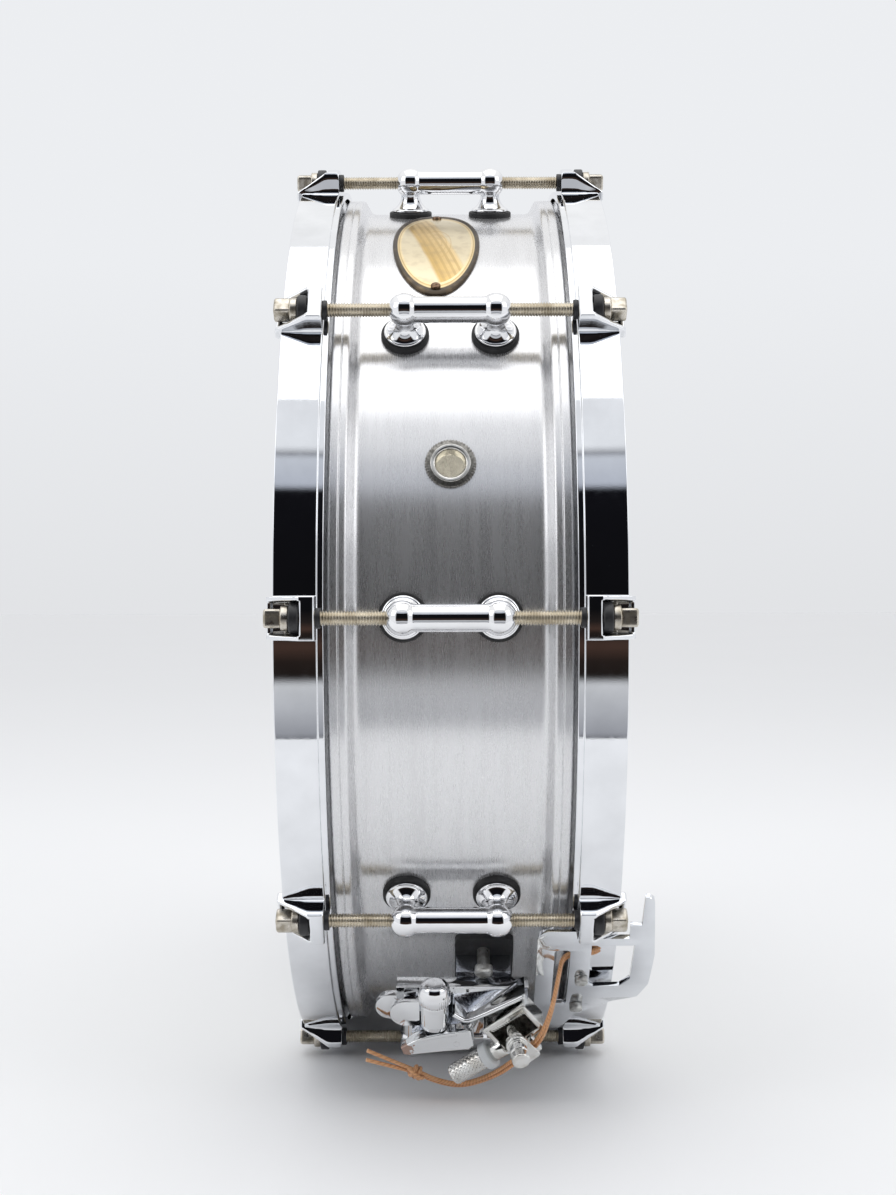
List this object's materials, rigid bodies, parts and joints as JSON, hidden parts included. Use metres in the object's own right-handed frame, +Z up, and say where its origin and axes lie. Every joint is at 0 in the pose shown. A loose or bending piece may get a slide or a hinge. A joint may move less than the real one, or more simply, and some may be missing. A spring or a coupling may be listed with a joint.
{
  "type": "snare drum",
  "caption": "Shallow metal-shell snare drum on its edge, with cast hoops, tube lugs, square-headed tension rods, a side throw-off strainer and snare cords.",
  "frame": {"origin": "centre of the bounding box in plan, on the floor that the two lowest pairs of hoop ears stand on", "axes": "+X along the drum's axis towards the snare side, so -X is the batter side; +Z up; -Y faces the viewer, with a lug on the mid-line"},
  "size_m": [0.1412, 0.3954, 0.3795],
  "materials": {
    "shell_metal": "brushed",
    "hoop_chrome": "polished",
    "lug_chrome": "polished",
    "rod_nickel": "worn nickel plate",
    "vent_nickel": "satin",
    "black_rubber": "matt",
    "black_plastic": "semi-matt",
    "head_film": "clear film, shown white",
    "flesh_alloy": "plain",
    "wire_steel": "bright",
    "guard_nickel": "satin nickel",
    "screw_steel": "plain",
    "badge_metal": "aged, etched",
    "badge_bronze": "aged",
    "strainer_chrome": "pitted",
    "lever_chrome": "worn through at the tip",
    "clamp_nickel": "tarnished",
    "collar_plastic": "smooth",
    "tan_cord": "waxed"
  },
  "bodies": {
    "drum": {"shell": "shell_metal", "air_vent_grommet": "vent_nickel", "air_vent_washer": "vent_nickel", "tube_lugs": "lug_chrome", "lug_gaskets": "black_rubber", "lug_screws": "screw_steel", "rod_washers": "rod_nickel", "rod_seats": "black_plastic", "rod_bushings": "black_plastic", "snare_hoop": "hoop_chrome", "batter_hoop": "hoop_chrome", "snare_head": "head_film", "batter_head": "head_film", "snare_flesh_hoop": "flesh_alloy", "batter_flesh_hoop": "flesh_alloy", "snare_wires": "wire_steel", "strainer_guard": "guard_nickel", "butt_guard": "guard_nickel", "guard_screws": "screw_steel", "badge_plate": "badge_metal", "badge_pins": "badge_bronze", "strainer_pad": "black_rubber", "strainer_bracket": "strainer_chrome", "strainer_bolts": "screw_steel", "strainer_body": "strainer_chrome", "lever_pin": "screw_steel", "butt_plate": "strainer_chrome", "butt_screws": "screw_steel", "cord_lead": "tan_cord", "butt_cord": "tan_cord"},
    "snare_rod_01": {"snare_rod_01": "rod_nickel"},
    "snare_rod_02": {"snare_rod_02": "rod_nickel"},
    "snare_rod_03": {"snare_rod_03": "rod_nickel"},
    "snare_rod_04": {"snare_rod_04": "rod_nickel"},
    "snare_rod_05": {"snare_rod_05": "rod_nickel"},
    "snare_rod_06": {"snare_rod_06": "rod_nickel"},
    "snare_rod_07": {"snare_rod_07": "rod_nickel"},
    "snare_rod_08": {"snare_rod_08": "rod_nickel"},
    "snare_rod_09": {"snare_rod_09": "rod_nickel"},
    "snare_rod_10": {"snare_rod_10": "rod_nickel"},
    "batter_rod_01": {"batter_rod_01": "rod_nickel"},
    "batter_rod_02": {"batter_rod_02": "rod_nickel"},
    "batter_rod_03": {"batter_rod_03": "rod_nickel"},
    "batter_rod_04": {"batter_rod_04": "rod_nickel"},
    "batter_rod_05": {"batter_rod_05": "rod_nickel"},
    "batter_rod_06": {"batter_rod_06": "rod_nickel"},
    "batter_rod_07": {"batter_rod_07": "rod_nickel"},
    "batter_rod_08": {"batter_rod_08": "rod_nickel"},
    "batter_rod_09": {"batter_rod_09": "rod_nickel"},
    "batter_rod_10": {"batter_rod_10": "rod_nickel"},
    "lever": {"throw_off_lever": "lever_chrome"},
    "yoke": {"clamp_yoke": "clamp_nickel", "clamp_jaw": "clamp_nickel", "adjuster_collar": "collar_plastic", "cord_tail_a": "tan_cord", "cord_tail_b": "tan_cord", "cord_knot": "tan_cord"},
    "clamp": {"clamp_screw": "clamp_nickel"},
    "adjuster": {"tension_adjuster": "clamp_nickel"},
    "knob": {"latch_knob": "strainer_chrome"}
  },
  "joints": [
    {"name": "snare_rod_01_turn", "type": "hinge", "parent": "drum", "child": "snare_rod_01", "pos_m": [0.0343, -0.1915, 0.18974], "axis": [1, 0, 0], "continuous": true},
    {"name": "snare_rod_02_turn", "type": "hinge", "parent": "drum", "child": "snare_rod_02", "pos_m": [0.0343, -0.15493, 0.3023], "axis": [1, 0, 0], "continuous": true},
    {"name": "snare_rod_03_turn", "type": "hinge", "parent": "drum", "child": "snare_rod_03", "pos_m": [0.0343, -0.05918, 0.37187], "axis": [1, 0, 0], "continuous": true},
    {"name": "snare_rod_04_turn", "type": "hinge", "parent": "drum", "child": "snare_rod_04", "pos_m": [0.0343, 0.05918, 0.37187], "axis": [1, 0, 0], "continuous": true},
    {"name": "snare_rod_05_turn", "type": "hinge", "parent": "drum", "child": "snare_rod_05", "pos_m": [0.0343, 0.15493, 0.3023], "axis": [1, 0, 0], "continuous": true},
    {"name": "snare_rod_06_turn", "type": "hinge", "parent": "drum", "child": "snare_rod_06", "pos_m": [0.0343, 0.1915, 0.18974], "axis": [1, 0, 0], "continuous": true},
    {"name": "snare_rod_07_turn", "type": "hinge", "parent": "drum", "child": "snare_rod_07", "pos_m": [0.0343, 0.15493, 0.07718], "axis": [1, 0, 0], "continuous": true},
    {"name": "snare_rod_08_turn", "type": "hinge", "parent": "drum", "child": "snare_rod_08", "pos_m": [0.0343, 0.05918, 0.00761], "axis": [1, 0, 0], "continuous": true},
    {"name": "snare_rod_09_turn", "type": "hinge", "parent": "drum", "child": "snare_rod_09", "pos_m": [0.0343, -0.05918, 0.00761], "axis": [1, 0, 0], "continuous": true},
    {"name": "snare_rod_10_turn", "type": "hinge", "parent": "drum", "child": "snare_rod_10", "pos_m": [0.0343, -0.15493, 0.07718], "axis": [1, 0, 0], "continuous": true},
    {"name": "batter_rod_01_turn", "type": "hinge", "parent": "drum", "child": "batter_rod_01", "pos_m": [-0.0457, -0.1915, 0.18974], "axis": [1, 0, 0], "continuous": true},
    {"name": "batter_rod_02_turn", "type": "hinge", "parent": "drum", "child": "batter_rod_02", "pos_m": [-0.0457, -0.15493, 0.3023], "axis": [1, 0, 0], "continuous": true},
    {"name": "batter_rod_03_turn", "type": "hinge", "parent": "drum", "child": "batter_rod_03", "pos_m": [-0.0457, -0.05918, 0.37187], "axis": [1, 0, 0], "continuous": true},
    {"name": "batter_rod_04_turn", "type": "hinge", "parent": "drum", "child": "batter_rod_04", "pos_m": [-0.0457, 0.05918, 0.37187], "axis": [1, 0, 0], "continuous": true},
    {"name": "batter_rod_05_turn", "type": "hinge", "parent": "drum", "child": "batter_rod_05", "pos_m": [-0.0457, 0.15493, 0.3023], "axis": [1, 0, 0], "continuous": true},
    {"name": "batter_rod_06_turn", "type": "hinge", "parent": "drum", "child": "batter_rod_06", "pos_m": [-0.0457, 0.1915, 0.18974], "axis": [1, 0, 0], "continuous": true},
    {"name": "batter_rod_07_turn", "type": "hinge", "parent": "drum", "child": "batter_rod_07", "pos_m": [-0.0457, 0.15493, 0.07718], "axis": [1, 0, 0], "continuous": true},
    {"name": "batter_rod_08_turn", "type": "hinge", "parent": "drum", "child": "batter_rod_08", "pos_m": [-0.0457, 0.05918, 0.00761], "axis": [1, 0, 0], "continuous": true},
    {"name": "batter_rod_09_turn", "type": "hinge", "parent": "drum", "child": "batter_rod_09", "pos_m": [-0.0457, -0.05918, 0.00761], "axis": [1, 0, 0], "continuous": true},
    {"name": "batter_rod_10_turn", "type": "hinge", "parent": "drum", "child": "batter_rod_10", "pos_m": [-0.0457, -0.15493, 0.07718], "axis": [1, 0, 0], "continuous": true},
    {"name": "lever_swing", "type": "hinge", "parent": "drum", "child": "lever", "pos_m": [0.0001, -0.13038, 0.02862], "axis": [0, -0.4226, 0.9063], "range_deg": [0, 75]},
    {"name": "yoke_slide", "type": "slide", "parent": "drum", "child": "yoke", "axis": [0.7986, -0.2543, 0.5454], "range_m": [0, 0.008], "deforming": ["cord_lead"]},
    {"name": "clamp_screw_turn", "type": "hinge", "parent": "yoke", "child": "clamp", "pos_m": [0.01642, -0.12956, 0.03489], "axis": [0.1392, -0.8975, -0.4185], "continuous": true},
    {"name": "adjuster_turn", "type": "hinge", "parent": "yoke", "child": "adjuster", "pos_m": [0.0045, -0.13057, 0.01814], "axis": [0.7986, -0.2543, 0.5454], "continuous": true},
    {"name": "knob_turn", "type": "hinge", "parent": "drum", "child": "knob", "pos_m": [-0.0123, -0.13748, 0.04241], "axis": [0, -0.4226, 0.9063], "continuous": true}
  ],
  "couplings": [
    {"joint": "lever_swing", "follows": "yoke_slide", "rad_per_m": 163.6}
  ]
}
